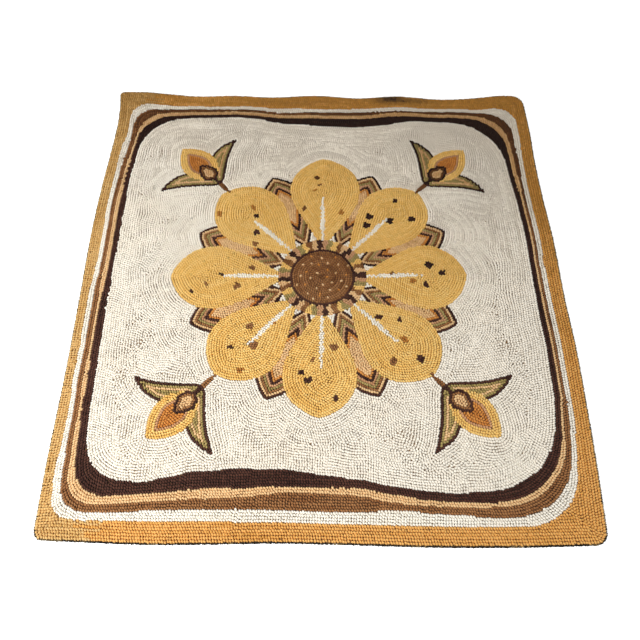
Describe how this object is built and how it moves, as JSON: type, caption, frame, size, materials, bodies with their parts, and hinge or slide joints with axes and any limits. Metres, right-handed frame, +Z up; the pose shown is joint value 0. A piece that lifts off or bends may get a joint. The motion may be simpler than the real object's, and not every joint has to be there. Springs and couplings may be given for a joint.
{
  "type": "hooked rug",
  "caption": "Flat hooked wool rug with looped pile on a cloth foundation and banded border, laid on a floor.",
  "frame": {"origin": "centre of the footprint on the underside, where the rug meets the floor", "axes": "+X across the rug to the right, +Y from the near edge to the far edge, +Z up out of the pile"},
  "size_m": [1.2752, 1.3602, 0.01],
  "materials": {
    "wool_pile": "looped wool yarn, matte, in gold, cream, tan and brown"
  },
  "bodies": {
    "root": {"rug": "wool_pile"}
  },
  "joints": []
}
